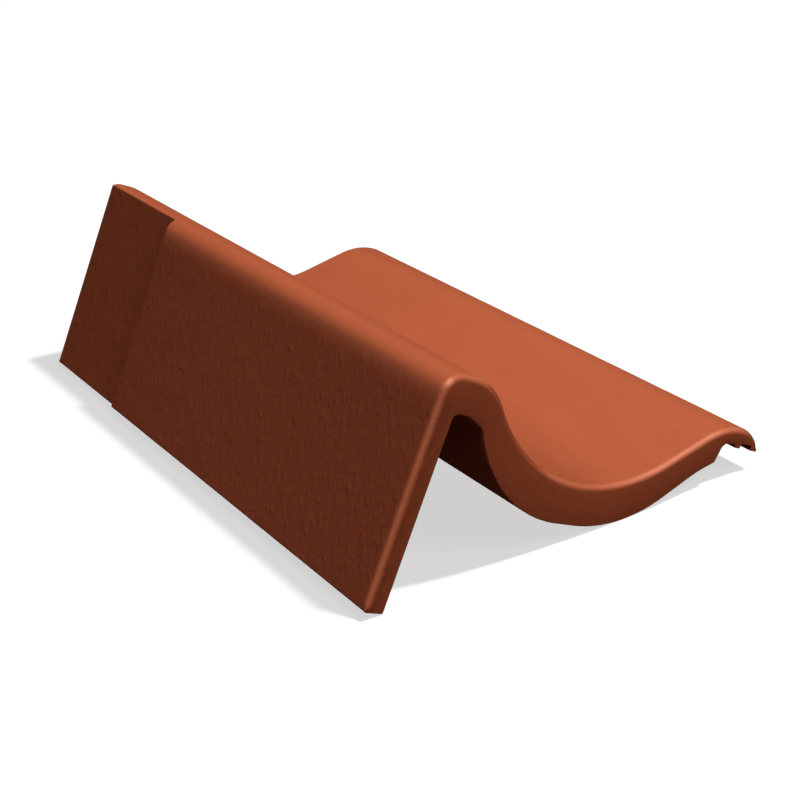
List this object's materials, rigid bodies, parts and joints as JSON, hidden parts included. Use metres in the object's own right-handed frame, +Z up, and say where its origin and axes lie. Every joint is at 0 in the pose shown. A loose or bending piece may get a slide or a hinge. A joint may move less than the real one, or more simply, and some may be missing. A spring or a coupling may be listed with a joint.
{
  "type": "verge tile",
  "caption": "Left-hand concrete verge roof tile: deep gable flange, narrow verge roll, trough and cover roll with side lock, flange thinned at the head for the lap.",
  "frame": {"origin": "centre of the footprint of the tile at rest, at floor level", "axes": "+Y up the roof slope from tail to head, +X from the flange to the cover roll, +Z up from the floor; the tile leans 24.1 degrees about Y from its place on the roof, cover roll down"},
  "size_m": [0.2752, 0.38, 0.1179],
  "materials": {
    "terracotta_concrete": "matt through-coloured concrete with a fine grain, terracotta red"
  },
  "bodies": {
    "root": {"verge_tile": "terracotta_concrete"}
  },
  "joints": []
}
